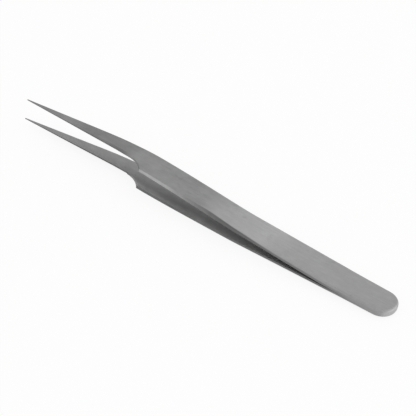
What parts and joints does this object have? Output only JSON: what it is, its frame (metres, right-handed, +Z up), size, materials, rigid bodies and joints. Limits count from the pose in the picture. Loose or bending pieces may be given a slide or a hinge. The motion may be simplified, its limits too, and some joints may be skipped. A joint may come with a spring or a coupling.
{
  "type": "pointed tweezers",
  "caption": "Fine-point steel tweezers: two bowed blades welded at the tail, ground to needle points offset to one side behind a hollow shoulder.",
  "frame": {"origin": "under the middle of the tweezers' box, on the surface that they lie on", "axes": "+X from the points to the tail, +Y towards the tapered side of the points, +Z up; the tweezers lie on the lower arm, on the ridge where its ground face ends near the middle and on its tail, so their plane of symmetry leans 1.8 degrees down towards the tail"},
  "size_m": [0.115, 0.0102, 0.0079],
  "materials": {
    "blade_steel": "satin stainless steel, finely ground along the blades"
  },
  "bodies": {
    "root": {"upper_arm": "blade_steel", "lower_arm": "blade_steel"}
  },
  "joints": []
}
